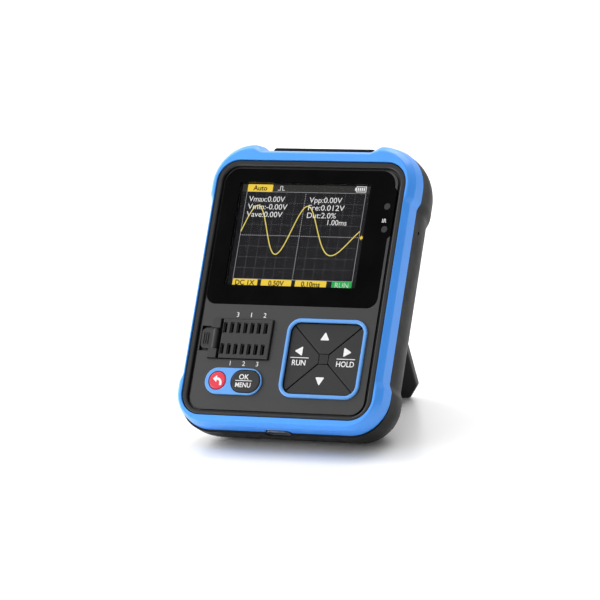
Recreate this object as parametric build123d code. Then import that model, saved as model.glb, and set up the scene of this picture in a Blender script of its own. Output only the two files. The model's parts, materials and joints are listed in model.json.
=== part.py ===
from build123d import *
import os
from math import atan2, copysign, cos, degrees, radians, sin, sqrt

# A pocket oscilloscope, signal generator and component tester: a dark front case inside a
# blue bumper frame, a rounded rear case, and a fold-out stand on which it leans back.
#
# All sub-parts are drawn in one device frame, in millimetres: X runs across the face, Z up
# the face, and Y from the face (Y = 0) into the case. settle() then leans the instrument back
# and sets it on Z = 0, with the origin under the middle of its bounding box.

# ------------------------------------------------------------------ driving dimensions
LEAN = 32.53  # how far the face leans back from upright, degrees
DEPTH = 31.0  # face to the flat of the back
PARTING = 7.0  # depth of the joint between the bumper frame and the rear case
GAP = 0.05  # running gap at the parting line

# outline of the case, with raised pads over its corners
SIDE = 37.9  # half width between the corner pads
PAD_SIDE = 39.1  # half width across the corner pads
TOP = 50.6  # top edge between the pads
PAD_TOP = 53.0  # top of the corner pads
BUMPER_BOTTOM = -48.5  # bottom edge of the bumper frame
REAR_BOTTOM = -49.3  # bottom edge of the rear case
CORNER_R = 15.0
LOW_CORNER_R = 13.0
PAD_RAMP_R = 2.5
TOP_RAMP = (19.8, 23.0)  # where a pad rises from the top edge, along X
UPPER_RAMP = (31.4, 33.6)  # where an upper pad rises from the side, along Z
LOWER_RAMP = (-30.4, -32.8)  # where a lower pad rises from the side, along Z

# rear case
STRAIGHT = 11.2  # depth at which the sides begin to round off
ROUND_IN = 15.5  # how far the rounded sides come in at the back
BOTTOM_STRAIGHT = 8.5  # depth at which the bottom begins to round off
BOTTOM_IN = 14.0  # how far the rounded bottom comes in at the back
WALL = 2.2
HOLLOW_CORNER_R = 8.6
HOLLOW_TIGHTEN = 0.4  # how much those corners tighten per millimetre of inset
ROUNDING_STEPS = (0, 20, 40, 55, 70, 82, 90)  # where the rounding is laid out, degrees
REAR_POST = (8.0, 11.4)  # screw posts: diameter and depth of their near ends
SIDE_HOLE = (11.2, 24.4, 1.2)  # in the right side: depth, height and diameter
PAD_FADE = 0.7  # how much of a pad's height is lost over the rounded back
# per millimetre that the outline comes in: how far a pad's ramps move towards the corner,
# and how much the corners tighten
BUMPER_TAPER = (0.35, 1.4)
REAR_TAPER = (-0.5, 0.55)
# front bumper: depth, how far the outline comes in, and the pads' share of full height
BUMPER_STEPS = (
    (0.0, 2.2, 0.5),
    (0.3, 1.8, 0.56),
    (1.9, 0.9, 0.8),
    (2.5, 0.62, 0.86),
    (PARTING, 0.0, 1.0),
)
BUMPER_RISE = 0.6  # how far the frame's bottom edge rises per millimetre of inset
USB_MARGIN = 0.45  # clearance round the USB receptacle in the case
PLATFORM = (38.4, 52.6, 19.5)  # connector platform: width, top, rear end
PLATFORM_EDGE_R = 1.2
PLATFORM_ROOT = 2.0  # how far it reaches into the case wall

# front case
OPENING = (71.2, 91.2, 8.0)  # inner opening of the bumper frame: width, height, corner
OPENING_Z = 0.35  # middle of that opening
FIT = 0.1  # clearance of the front case inside the bumper frame
RIM_FACE = 0.35  # depth of the raised rim round the panel
PANEL_FACE = 0.8  # depth of the panel's face
PANEL_BACK = 2.8
RIM_W = (2.1, 1.35)  # width of the raised rim: top and sides, bottom
GROOVE_W = (0.9, 0.8)  # width of the groove between the rim and the panel
RIM_R = 0.6
GROOVE_BOTTOM = 1.7
SKIRT_W = 1.6  # thickness of the wall behind the panel
SKIRT_END = 8.3
PICTURE_MARGIN = 0.9  # the window in the panel, beyond the picture
SENSOR_D = 3.2  # holes behind the lens for the two sensors
CASE_POST = (5.0, 11.2)  # posts for the case screws: diameter and depth of their ends
CASE_PILOT = (2.1, 5.0)  # pilot holes: diameter and depth of their bottoms
BOARD_POST_D = 3.8
BOARD_PILOT = (1.5, 4.6)

# display
DISPLAY = (-1.3, 19.0)  # middle of the picture
PICTURE = (48.96, 36.72)  # active area of a 2.4 inch panel
LENS_TOP = 42.85
LENS_BOTTOM = -5.7
LENS_SIDE = (-32.5, 31.5)
LENS_EAR = (32.5, 20.0, 36.0)  # the wider stretch at the right: edge, from, to
LENS_R = (5.5, 3.8)  # top and bottom corners
LENS_FIT = 0.08
LENS_T = 1.0
TAPE_T = 0.15
LCD = (59.46, 42.72, 2.6)  # outline of the bare 2.4 inch module and its thickness
LCD_X = -3.67  # middle of the module, whose driver ledge is on the left
LEDGE = 3.2  # width of the bare glass beside the backlight
LCD_FRONT = 2.95
GLASS_T = 1.2
FLEX = (10.0, 16.0, 0.15)  # flat cable: height of its middle, width and thickness
FLEX_TURN = -31.8  # where it begins to fold back
FLEX_END = -22.05
FLEX_FAR = 8.2
IR_WINDOW = (29.8, 22.3)
LED_WINDOW = (29.6, 30.4)

# main board
BOARD = (66.8, 93.0, 9.0)  # width, height, corner
BOARD_NOTCH = 4.3  # from a case screw to the edges of the corner notch beside it
BOARD_Z = 0.6
BOARD_FRONT = 8.6
BOARD_BACK = 10.2

# keys
KEY_FACE = 1.1  # depth of the direction keys
KEY_TRAVEL = 0.5
KEY_EDGE = 0.15
KEY_TOP = 1.55  # depth to which a direction key keeps its full outline
KEY_GAP = 0.25  # from a direction key to the ring
KEY_STEM = (2.6, 4.4)  # diameter of a key's stem, and its depth at rest
PAD_CENTRE = (15.0, -23.95)
PAD_RING = (29.7, 27.8, 4.9, 1.3)  # direction pad ring: outer width, height, corner, band
KEY_SPLIT = 0.2  # half of the gap along the pad's diagonals
RIB = (2.1, 0.9)  # ribs under that gap: depth of their tops, and width
RIB_GAP = 0.75  # from a rib's middle to the keys beside it
HUB = 3.3  # square post in the middle of the pad
KEY_REACH = 8.2  # from the middle of the pad to a key's switch
FLANGE = (3.0, 3.6)  # depths of the lip that keeps a key in the case
PILL = (-16.9, -33.05, 21.2, 9.3)  # menu plate: middle X and Z, width, height
BACK_KEY = (-22.8, -33.0, 6.3)  # middle and diameter
OK_KEY = (-12.2, -33.0, 10.8, 7.8)  # middle, width, height
CAP_GAP = 0.2  # round the back and OK keys
CAP_LIP = 0.7  # how far a key's lip reaches behind the panel
TRIM_FACE = 0.1  # depth of the blue trim's face
TRIM_SEAT = 1.8
SWITCH = (6.0, 3.2)  # tactile switch body: side and height
PLUNGER_D = 3.0

# test socket, 14 ways in two rows
SOCKET = (-5.4, -28.2, -25.0, -11.2)  # right, left, bottom and top edges
SOCKET_FACE = 0.0
SOCKET_ROWS = (-14.3, -21.8)
SOCKET_FIRST = -7.7
PITCH = 2.54
WAYS = 7
LEVER_AXIS = (-26.7, 1.4)  # X and depth of the cam pin
LEVER_REACH = 5.0
LEVER_W = 7.0
CAM_R = 1.1
CHEEK_W = 3.2
CHEEK_FACE = 0.1
SOCKET_DISH = (3.8, 4.4)  # finger dish beside the lever: width and half height
SOCKET_PLATE = (4.2, 2.9)  # sliding plate: from the block's left edge, and its back
SLOT = (0.8, 3.2)  # a way's slot in the plate: width and height
FUNNEL = (1.5, 3.8, 0.5)  # the funnel over it: width, height and depth
CONTACT_HOLE = (1.1, 2.4, 6.4)  # hole in the block for a contact: width, height, bottom
CONTACT = (0.9, 1.6, 0.2)  # forked contact: width, height and thickness of the strip
LEVER_STEPS = (0.7, 1.5, 2.3)  # grip ribs, from the lever's tip

# connectors
MCX_X = 12.6
MCX_Y = 12.9
MCX_TIP = 53.4
MCX_D = 5.2
MCX_MARGIN = 0.2  # clearance round a jack in the case
MCX_BORE = 3.5
MCX_DEPTH = 3.6  # of the open bore
MCX_PLUG = (3.0, 3.0)  # diameter and length of the insulator behind it
MCX_PIN = (1.2, 0.6)  # outer and inner diameter of the centre contact
MCX_SOCKET = 2.0  # depth of the bore in the centre contact
MCX_FOOT = (3.2, 44.2, 46.6, 2.8)  # block on the board: half width, bottom, top, behind axis
USB = (8.94, 3.26, 7.4)  # receptacle: width, height, length
USB_WALL = 0.3
USB_Y = 6.92
USB_END = -48.9
USB_TONGUE = (6.7, 0.7, 1.0)  # contact tongue: width, thickness, depth inside the mouth
USB_BACK = (2.4, 0.4)  # plate that carries it: height and thickness
POWER_TRAVEL = 2.0
POWER_BODY = (8.8, 40.6, 45.4, 5.0)  # switch: width, bottom, top, height off the board
POWER_CHANNEL = (0.2, 11.6, 14.2)  # inside it: clearance at each end, and depths
KNOB_STEM = (2.4, 42.3, 12.0, 13.8)  # width, bottom and depths
KNOB_CAP = (4.0, 11.8, 14.0)  # width and depths
KNOB_OUT = 1.2  # how far the cap stands above the platform
KNOB_GAP = 0.35  # round the cap in its slot
KNOB_RIBS = (-1.1, 0.0, 1.1)
KNOB_RIB = (0.4, 0.25)  # width and height of a rib

# stand
STAND_W = 44.6
STAND_T = 2.4
STAND_OPEN = 53.3  # from folded flat to open
STAND_AXIS = (29.5, 11.0)  # depth and height of the hinge line
STAND_REACH = 47.45  # hinge line to foot
STAND_CHAMFER = (3.95, 5.25)  # cut off each foot corner: across, up
STAND_EDGE_R = 0.5
STAND_HEEL = 2.6  # how far the plate runs on past the hinge line
STAND_HEEL_R = 0.8
STAND_FOOT_R = 2.0
STAND_PLAY = 0.4
STAND_DISH = (30.0, 3.0, -20.0, 0.6)  # shallow dish: side, corner, middle, depth
STAND_RIBS = (-12.5, -20.0, -27.5)  # stiffening ribs across the dish
STAND_RIB_W = 1.0
TRUNNION = (1.8, 1.6)  # diameter and length of each hinge stub
TRUNNION_FIT = 0.07
STOP_GAP = 0.06  # between the open stand's heel and the stop
POCKET_GAP = 0.5  # round the heel as it turns
RECESS_FLOOR = 27.7
RECESS_WALL = 2.1  # thickness of the tray behind that floor
RECESS_END = -43.0  # where the tray runs out through the curved bottom
WELL = (1.4, 4.1, 6.0)  # solid round the tray: beside the stubs, below and above it

# battery
CELL = (34.0, 50.0, 8.0)
CELL_AT = (0.0, -7.0)
CELL_BACK = 25.0
CELL_SEAL = (3.0, 21.5, 23.0)  # sealed end of the pouch: length and depths
CELL_PAD = (28.0, 42.0)  # foam behind the cell: width and height
LEAD_D = 1.3
LEAD_SPREAD = 1.0  # of each wire from the middle
PLUG = (5.8, 3.6, 11.0, 14.2)  # width, height and depths
PLUG_UP = 12.9  # from the top of the cell to the middle of the plug
HEADER = (7.2, 14.6)  # board connector: width and back

# fasteners
CASE_SCREWS = ((26.0, 42.9), (-26.0, 42.9), (26.5, -40.5), (-26.5, -40.5))
CASE_SEAT = 23.2
CASE_HEAD = (4.6, 1.8)  # diameter and height of a case screw's head
CASE_SHANK = (2.05, 5.6)  # diameter and depth of its tip
CASE_HOLE = (2.8, 5.4)  # clearance hole and counterbore in the rear case
BOARD_SCREWS = ((-30.6, -6.4), (30.6, -6.4), (-2.4, -39.5), (31.2, 35.6))
BOARD_HEAD = (3.4, 1.2)
BOARD_SHANK = (1.45, 5.0)
BOARD_HOLE_D = 2.2
DRIVE = 0.56  # size of a cross drive, as a share of the head
CAPACITORS = ((27.0, 30.0), (27.0, 24.0), (-18.0, -38.0))

# pieces that can reach the limits of the instrument's box
OUTSIDE = ("front_bumper", "rear_case", "stand", "power_switch_knob", "mcx_shells", "key_ok")


# ------------------------------------------------------------------ shared helpers
def slab(shape, near, far):
    """Extrude a sketch drawn in X and Z between two depths."""
    return extrude(Plane.XZ.offset(-near) * shape, far - near, dir=(0, 1, 0))


def disc(x, z, diameter, near, far):
    return slab(Pos(x, z) * Circle(diameter / 2), near, far)


def block(left, right, low, high, near, far):
    middle = Pos((left + right) / 2, (low + high) / 2)
    return slab(middle * Rectangle(right - left, high - low), near, far)


def pill(x, z, width, height):
    return Pos(x, z) * SlotOverall(width, height)


def rounded(width, height, corner, x=0.0, z=0.0):
    return Pos(x, z) * RectangleRounded(width, height, corner)


def upright(x, y, diameter, low, high):
    """A round bar that runs up the face, along Z."""
    return extrude(Plane.XY.offset(low) * Pos(x, y) * Circle(diameter / 2), high - low)


def crossbar(y, z, diameter, left, right):
    """A round bar that runs across the face, along X."""
    return extrude(Plane.YZ.offset(left) * Pos(y, z) * Circle(diameter / 2), right - left)


def joined(parts):
    """Fuse overlapping pieces into one solid."""
    whole = parts[0]
    for part in parts[1:]:
        whole += part
    return whole


def group(parts):
    """Keep identical pieces as separate solids of one sub-part."""
    return Compound(children=[solid for part in parts for solid in part.solids()])


# ------------------------------------------------------------------ case outline
def case_outline(inset, pad, low, taper):
    """The case's outline, brought in by inset, with pads at a share of full height."""
    side = SIDE - inset
    out = SIDE + pad * (PAD_SIDE - SIDE) - inset
    top = TOP - inset
    crest = TOP + pad * (PAD_TOP - TOP) - inset
    drift, tighten = (rate * inset for rate in taper)
    right = [
        (TOP_RAMP[0] + drift, top),
        (TOP_RAMP[1] + drift, crest),
        (out, crest),
        (out, UPPER_RAMP[1] + drift),
        (side, UPPER_RAMP[0] + drift),
        (side, LOWER_RAMP[0] - drift),
        (out, LOWER_RAMP[1] - drift),
        (out, low),
    ]
    left = [(-x, z) for x, z in reversed(right)]
    corners = [CORNER_R - tighten, LOW_CORNER_R - tighten]
    half = [PAD_RAMP_R] * 2 + corners[:1] + [PAD_RAMP_R] * 4 + corners[1:]
    line = FilletPolyline(*right, *left, radius=half + half[::-1], close=True)
    return make_face(line.edges())


def section(shape, depth):
    return Plane.XZ.offset(-depth) * shape


def rounding(start, end, inward, depth):
    """How far an elliptical rounding has come in at a depth."""
    share = max(0.0, min(1.0, (depth - start) / (end - start)))
    return inward * (1 - sqrt(1 - share * share))


def front_bumper():
    """The blue frame: a slanted front facet, an eased crease and an outer side."""
    skins = [
        section(case_outline(inset, pad, BUMPER_BOTTOM + BUMPER_RISE * inset, BUMPER_TAPER), depth)
        for depth, inset, pad in BUMPER_STEPS
    ]
    ring = loft(skins, ruled=True)
    ring -= slab(rounded(*OPENING, z=OPENING_Z), -1, PARTING + 1)
    return ring - usb_opening()


def usb_opening():
    width, height, length = USB
    mouth = SlotOverall(width + 2 * USB_MARGIN, height + 2 * USB_MARGIN)
    below = REAR_BOTTOM - 2
    return extrude(Plane.XY.offset(below) * Pos(0, USB_Y) * mouth, USB_END + length - below)


# ------------------------------------------------------------------ rear case
def rear_skin():
    """The outer shape: straight sides, then a rounded back."""
    skins = []
    for angle in ROUNDING_STEPS:
        depth = STRAIGHT + (DEPTH - STRAIGHT) * sin(radians(angle))
        inset = ROUND_IN * (1 - cos(radians(angle)))
        low = REAR_BOTTOM + rounding(BOTTOM_STRAIGHT, DEPTH, BOTTOM_IN, depth)
        pad = 1 - PAD_FADE * inset / ROUND_IN
        skins.append(section(case_outline(inset, pad, low, REAR_TAPER), depth))
    mouth = section(case_outline(0, 1, REAR_BOTTOM, REAR_TAPER), PARTING + GAP)
    return loft([mouth, skins[0]], ruled=True) + loft(skins)


def rear_hollow():
    back = DEPTH - WALL
    skins = []
    for angle in ROUNDING_STEPS:
        depth = STRAIGHT + (back - STRAIGHT) * sin(radians(angle))
        inset = ROUND_IN * (1 - cos(radians(angle))) + WALL
        low = REAR_BOTTOM + WALL + rounding(BOTTOM_STRAIGHT, back, BOTTOM_IN, depth)
        skins.append(hollow_section(inset, low, depth))
    mouth = hollow_section(WALL, REAR_BOTTOM + WALL, 0)
    return loft([mouth] + skins, ruled=True)


def hollow_section(inset, low, depth):
    high = TOP - inset
    corner = HOLLOW_CORNER_R - HOLLOW_TIGHTEN * (inset - WALL)
    shape = rounded(2 * (SIDE - inset), high - low, corner, z=(high + low) / 2)
    return section(shape, depth)


def connector_platform():
    width, top, rear = PLATFORM
    shape = block(-width / 2, width / 2, TOP - PLATFORM_ROOT, top, PARTING + GAP, rear)
    edges = shape.edges().group_by(Axis.Z)[-1]
    return fillet(edges.sort_by(Axis.Y)[1:], PLATFORM_EDGE_R)


def stand_recess():
    """The tray that the folded stand lies in, and the pocket behind its heel."""
    y, z = STAND_AXIS
    half = STAND_W / 2 + STAND_PLAY
    high = z + STAND_HEEL + STAND_PLAY
    tray = block(-half, half, RECESS_END, high, RECESS_FLOOR, DEPTH + 2)
    pocket = crossbar(y, z, 2 * (STAND_HEEL + POCKET_GAP), -half, half)
    beyond_stop = open_stand_frame() * Box(2 * half + 2, 2 * STAND_T, STAND_REACH)
    beyond_stop = Pos(0, *stop_shift()) * beyond_stop
    return tray, pocket - beyond_stop


def open_stand_frame():
    """Place something drawn round the folded stand's hinge line as it stands when open."""
    y, z = STAND_AXIS
    return Pos(0, y, z) * Rot(STAND_OPEN, 0, 0)


def stop_shift():
    """From the middle of the open plate to the middle of the solid that its heel meets."""
    away = 1.5 * STAND_T + STOP_GAP
    return (-away * cos(radians(STAND_OPEN)), -away * sin(radians(STAND_OPEN)))


def rear_case():
    skin = rear_skin() + connector_platform()
    shell = skin - rear_hollow()
    half = STAND_W / 2 + STAND_PLAY + TRUNNION[1]
    y, z = STAND_AXIS
    beside, below, above = WELL
    across = half + beside
    floor = RECESS_FLOOR - RECESS_WALL
    well = block(-across, across, RECESS_END - below, z + above, floor, DEPTH)
    posts = [rear_post(x, z) for x, z in CASE_SCREWS]
    shell = joined([shell, well & skin] + [post & skin for post in posts])
    for cut in stand_recess():
        shell -= cut
    shell -= crossbar(y, z, TRUNNION[0] + 2 * TRUNNION_FIT, -half, half)
    for x, z in CASE_SCREWS:
        shell -= disc(x, z, CASE_HOLE[0], PARTING, DEPTH + 1)
        shell -= disc(x, z, CASE_HOLE[1], CASE_SEAT, DEPTH + 1)
    for side in (-1, 1):
        shell -= upright(side * MCX_X, MCX_Y, MCX_D + 2 * MCX_MARGIN, TOP - 8, PAD_TOP + 2)
    shell -= power_slot()
    shell -= usb_opening()
    return shell - crossbar(*SIDE_HOLE, SIDE - WALL - 1, SIDE + 2)


def rear_post(x, z):
    return disc(x, z, *REAR_POST, DEPTH)


def power_slot():
    width, near, far = KNOB_CAP
    half = (width + POWER_TRAVEL) / 2 + KNOB_GAP
    return block(-half, half, TOP - 8, PAD_TOP + 2, near - KNOB_GAP, far + KNOB_GAP)


# ------------------------------------------------------------------ front case
def panel_outline(side, low):
    """The frame's inner opening, brought in by one amount, and by another at the bottom."""
    width, height, corner = OPENING
    middle = OPENING_Z + (low - side) / 2
    return rounded(width - 2 * side, height - side - low, corner - side, z=middle)


def front_case():
    """The panel with its raised rim and skirt, the screw posts and all its openings."""
    outer = panel_outline(FIT, FIT)
    inner = panel_outline(FIT + SKIRT_W, FIT + SKIRT_W)
    side, low = (FIT + width for width in RIM_W)
    rim = slab(outer, RIM_FACE, PANEL_BACK) - slab(panel_outline(side, low), 0, GROOVE_BOTTOM)
    rim = fillet(rim.faces().sort_by(Axis.Y)[0].edges(), RIM_R)
    field = panel_outline(side + GROOVE_W[0], low + GROOVE_W[1])
    case = rim + slab(field, PANEL_FACE, PANEL_BACK)
    case += slab(outer, PANEL_BACK, SKIRT_END) - slab(inner, PANEL_BACK, SKIRT_END)
    diameter, end = CASE_POST
    root = PANEL_BACK - 0.5
    posts = [disc(x, z, diameter, root, end) for x, z in CASE_SCREWS]
    posts += [disc(x, z, BOARD_POST_D, root, BOARD_FRONT) for x, z in BOARD_SCREWS]
    case = joined([case] + posts)
    case -= slab(lens_shape(LENS_FIT), PANEL_FACE - 1, PANEL_FACE + LENS_T + TAPE_T)
    case -= slab(picture_window(PICTURE_MARGIN), 0, PANEL_BACK + 1)
    for x, z in (IR_WINDOW, LED_WINDOW):
        case -= disc(x, z, SENSOR_D, 0, PANEL_BACK + 0.01)
    case -= slab(ring_shape(), 0, TRIM_SEAT + 0.02)
    case -= slab(pad_outline(KEY_GAP - CAP_GAP), 0, PANEL_BACK + 0.1)
    case -= slab(pill(*PILL), 0, TRIM_SEAT + 0.02)
    case -= cap_openings(PANEL_BACK + 0.1)
    case -= socket_opening()
    case += pad_cross()
    for x, z in CASE_SCREWS:
        case -= disc(x, z, *CASE_PILOT, end + 1)
    for x, z in BOARD_SCREWS:
        case -= disc(x, z, *BOARD_PILOT, BOARD_FRONT + 1)
    return case - usb_opening()


def cap_openings(far):
    """The round and the long hole that the back and OK keys stand in."""
    x, z, diameter = BACK_KEY
    ok_x, ok_z, width, height = OK_KEY
    round_hole = disc(x, z, diameter + 2 * CAP_GAP, 0, far)
    return round_hole + slab(pill(ok_x, ok_z, width + 2 * CAP_GAP, height + 2 * CAP_GAP), 0, far)


def socket_opening():
    right, left, low, high = SOCKET
    body = block(left - 0.2, right + 0.2, low - 0.2, high + 0.2, 0, PANEL_BACK + 0.1)
    middle = (low + high) / 2
    width, reach = SOCKET_DISH
    dish = block(left - width, left, middle - reach, middle + reach, 0, PANEL_FACE + 1.3)
    return body + dish


def pad_outline(inset):
    """The ring's inner edge, brought in."""
    width, height, corner, band = PAD_RING
    shrink = 2 * (band + inset)
    return rounded(width - shrink, height - shrink, corner - band - inset, *PAD_CENTRE)


def pad_half():
    """Half the width and height of the ring's inner edge."""
    width, height, _, band = PAD_RING
    return width / 2 - band, height / 2 - band


def pad_cross():
    """Ribs under the direction pad's diagonals, and the square post where they meet."""
    across, up = pad_half()
    slant = degrees(atan2(up, across))
    top, width = RIB
    bar = Rectangle(4 * across, width)
    ribs = [Pos(*PAD_CENTRE) * Rot(0, 0, turn) * bar for turn in (slant, -slant)]
    cross = joined([slab(rib, top, PANEL_BACK) for rib in ribs])
    cross &= slab(pad_outline(-KEY_GAP), 0, PANEL_BACK + 1)
    return cross + slab(Pos(*PAD_CENTRE) * Rectangle(HUB, HUB), KEY_FACE, PANEL_BACK)


def lens_shape(grow):
    """The display lens, a little wider beside the sensors."""
    left, right = LENS_SIDE
    ear, ear_low, ear_high = LENS_EAR
    points = [
        (left - grow, LENS_TOP + grow),
        (right + grow, LENS_TOP + grow),
        (right + grow, ear_high + 1 + grow),
        (ear + grow, ear_high + grow),
        (ear + grow, ear_low - grow),
        (right + grow, ear_low - 1 - grow),
        (right + grow, LENS_BOTTOM - grow),
        (left - grow, LENS_BOTTOM - grow),
    ]
    high_r, low_r = LENS_R
    radii = [high_r, high_r, 0.4, 0.4, 0.4, 0.4, low_r, low_r]
    return make_face(FilletPolyline(*points, radius=radii, close=True).edges())


def picture_window(margin):
    x, z = DISPLAY
    return Pos(x, z) * Rectangle(PICTURE[0] + 2 * margin, PICTURE[1] + 2 * margin)


def display_lens():
    return slab(lens_shape(0), PANEL_FACE, PANEL_FACE + LENS_T)


def lens_tape():
    """The black tape behind the lens, open at the picture and the two sensors."""
    ring = slab(lens_shape(0), PANEL_FACE + LENS_T, PANEL_FACE + LENS_T + TAPE_T)
    ring -= slab(picture_window(1.0), 0, PANEL_BACK)
    for x, z in (IR_WINDOW, LED_WINDOW):
        ring -= disc(x, z, 3.4, 0, PANEL_BACK)
    return ring


def lcd_glass():
    width, height, _ = LCD
    return slab(Pos(LCD_X, DISPLAY[1]) * Rectangle(width, height), LCD_FRONT, LCD_FRONT + GLASS_T)


def lcd_backlight():
    width, height, depth = LCD
    tray = Pos(LCD_X + LEDGE / 2, DISPLAY[1]) * Rectangle(width - LEDGE, height)
    return slab(tray, LCD_FRONT + GLASS_T, LCD_FRONT + depth)


def lcd_flex():
    """The flat cable that folds from the back of the glass ledge to its connector."""
    middle, width, thick = FLEX
    near = LCD_FRONT + GLASS_T
    far = FLEX_FAR - thick
    turn = FLEX_TURN
    start = LCD_X - LCD[0] / 2 + LEDGE - 0.2
    bend = (FLEX_FAR - near) / 2
    inner = bend - thick
    outline = Line((start, near), (turn, near))
    outline += ThreePointArc((turn, near), (turn - bend, near + bend), (turn, FLEX_FAR))
    outline += Polyline((turn, FLEX_FAR), (FLEX_END, FLEX_FAR), (FLEX_END, far), (turn, far))
    outline += ThreePointArc((turn, far), (turn - inner, near + bend), (turn, near + thick))
    outline += Polyline((turn, near + thick), (start, near + thick), (start, near))
    return Pos(0, 0, middle - width / 2) * extrude(make_face(outline.edges()), width)


# ------------------------------------------------------------------ main board
def main_board():
    width, height, corner = BOARD
    board = slab(rounded(width, height, corner, z=BOARD_Z), BOARD_FRONT, BOARD_BACK)
    for x, z in CASE_SCREWS:
        notch_x = sorted((x - copysign(BOARD_NOTCH, x), copysign(width, x)))
        notch_z = sorted((z - copysign(BOARD_NOTCH, z), copysign(height, z)))
        board -= block(*notch_x, *notch_z, BOARD_FRONT - 1, BOARD_BACK + 1)
    for x, z in BOARD_SCREWS:
        board -= disc(x, z, BOARD_HOLE_D, BOARD_FRONT, BOARD_BACK)
    return board


def chip(x, z, width, height, tall, front=False):
    """A packaged part lying on the back of the board, or on its front."""
    near, far = (BOARD_FRONT - tall, BOARD_FRONT) if front else (BOARD_BACK, BOARD_BACK + tall)
    return block(x - width / 2, x + width / 2, z - height / 2, z + height / 2, near, far)


def shield_can():
    x, z, width, height, tall, sheet = 14.0, 31.5, 18.0, 12.0, 2.4, 0.3
    can = chip(x, z, width, height, tall)
    lid = can.faces().sort_by(Axis.Y)[-1].edges()
    can = fillet(can.edges().filter_by(Axis.Y) + lid, 0.5)
    return can - chip(x, z, width - 2 * sheet, height - 2 * sheet, tall - sheet)


def inductor(x, z):
    base = disc(x, z, 4.6, BOARD_BACK, BOARD_BACK + 0.5)
    return base + disc(x, z, 4.0, BOARD_BACK, BOARD_BACK + 2.6)


def capacitor(x, z):
    base = chip(x, z, 4.3, 4.3, 0.6)
    return base + disc(x, z, 4.0, BOARD_BACK, BOARD_BACK + 4.2)


# ------------------------------------------------------------------ keys
def pad_wedge(turn, inset, split, hub, near, far):
    """One quarter of the direction pad, turned from pointing up."""
    across, along = pad_half()
    if turn in (90, 270):
        across, along = along, across
    tip = split * sqrt(across**2 + along**2) / across
    high = tip + 2 * along
    corners = [(0, tip), (2 * across, high), (-2 * across, high)]
    quarter = make_face(Polyline(*corners, close=True).edges())
    whole = slab(Pos(*PAD_CENTRE) * Rot(0, 0, turn) * quarter, near, far)
    whole &= slab(pad_outline(inset), near, far)
    return whole - slab(Pos(*PAD_CENTRE) * Rectangle(2 * hub, 2 * hub), near - 1, far + 1)


def pad_key(turn):
    """A direction key: a flush top, a body that clears the ribs, a lip and a stem."""
    x, z = PAD_CENTRE
    top = pad_wedge(turn, KEY_GAP, KEY_SPLIT, HUB / 2 + CAP_GAP, KEY_FACE, KEY_TOP)
    top = fillet(top.faces().sort_by(Axis.Y)[0].edges(), KEY_EDGE)
    body = pad_wedge(turn, KEY_GAP, RIB_GAP, HUB / 2 + 0.5, KEY_TOP - 0.1, FLANGE[1])
    lip = pad_wedge(turn, KEY_GAP - 0.85, 1.6, 4.0, *FLANGE)
    along = radians(turn)
    stem_x, stem_z = x - KEY_REACH * sin(along), z + KEY_REACH * cos(along)
    return joined([top, body, lip, key_stem(stem_x, stem_z)])


def key_stem(x, z):
    diameter, end = KEY_STEM
    return disc(x, z, diameter, FLANGE[1] - 0.1, end)


def switch_spots():
    """Where each key's tactile switch stands, by the key's name."""
    x, z = PAD_CENTRE
    return {
        "up": (x, z + KEY_REACH),
        "left": (x - KEY_REACH, z),
        "down": (x, z - KEY_REACH),
        "right": (x + KEY_REACH, z),
        "back": BACK_KEY[:2],
        "ok": OK_KEY[:2],
    }


def crowned(shape, lip, x, z):
    """A loose key cap: rounded top edge, lip behind the panel, stem to its switch."""
    cap = slab(shape, 0.0, FLANGE[1])
    cap = fillet(cap.faces().sort_by(Axis.Y)[0].edges(), 0.5)
    return joined([cap, slab(lip, *FLANGE), key_stem(x, z)])


def back_key():
    x, z, diameter = BACK_KEY
    at = Pos(x, z)
    return crowned(at * Circle(diameter / 2), at * Circle(diameter / 2 + CAP_LIP), x, z)


def ok_key():
    x, z, width, height = OK_KEY
    lip = pill(x, z, width + 2 * CAP_LIP, height + 2 * CAP_LIP)
    return crowned(pill(x, z, width, height), lip, x, z)


def tactile_body(x, z):
    side, tall = SWITCH
    body = slab(Pos(x, z) * Rectangle(side, side), BOARD_FRONT - tall, BOARD_FRONT)
    well = disc(x, z, PLUNGER_D + 0.2, BOARD_FRONT - tall - 1, BOARD_FRONT - tall + 1.6)
    return body - well


def tactile_plunger(x, z):
    return disc(x, z, PLUNGER_D, KEY_STEM[1], BOARD_FRONT - SWITCH[1] + 0.8)


# ------------------------------------------------------------------ blue trim
def ring_shape():
    width, height, corner, _ = PAD_RING
    return rounded(width, height, corner, *PAD_CENTRE) - pad_outline(0)


def pad_ring():
    ring = slab(ring_shape(), TRIM_FACE, TRIM_SEAT)
    return fillet(ring.faces().sort_by(Axis.Y)[0].edges(), 0.45)


def menu_plate():
    plate = slab(pill(*PILL), TRIM_FACE, TRIM_SEAT)
    plate = fillet(plate.faces().sort_by(Axis.Y)[0].edges(), 0.25)
    return plate - cap_openings(TRIM_SEAT + 1)


# ------------------------------------------------------------------ test socket
def contact_spots():
    return [(SOCKET_FIRST - PITCH * way, row) for row in SOCKET_ROWS for way in range(WAYS)]


def socket_base():
    """The fixed block that holds the contacts, with a cheek at each end of the lever."""
    right, left, low, high = SOCKET
    base = block(left, right, low, high, 3.0, BOARD_FRONT)
    middle = (low + high) / 2
    reach = LEVER_W / 2 + 0.2
    for cheek_low, cheek_high in ((low, middle - reach), (middle + reach, high)):
        base += block(left, left + CHEEK_W, cheek_low, cheek_high, CHEEK_FACE, 3.2)
    base -= cam_pin(0.06)
    width, height, bottom = CONTACT_HOLE
    for x, z in contact_spots():
        base -= slab(Pos(x, z) * Rectangle(width, height), 2, bottom)
    return base


def cam_pin(grow):
    x, y = LEVER_AXIS
    low, high = SOCKET[2] + 1.5, SOCKET[3] - 1.5
    return upright(x, y, 2 * (CAM_R + grow), low - grow, high + grow)


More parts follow.
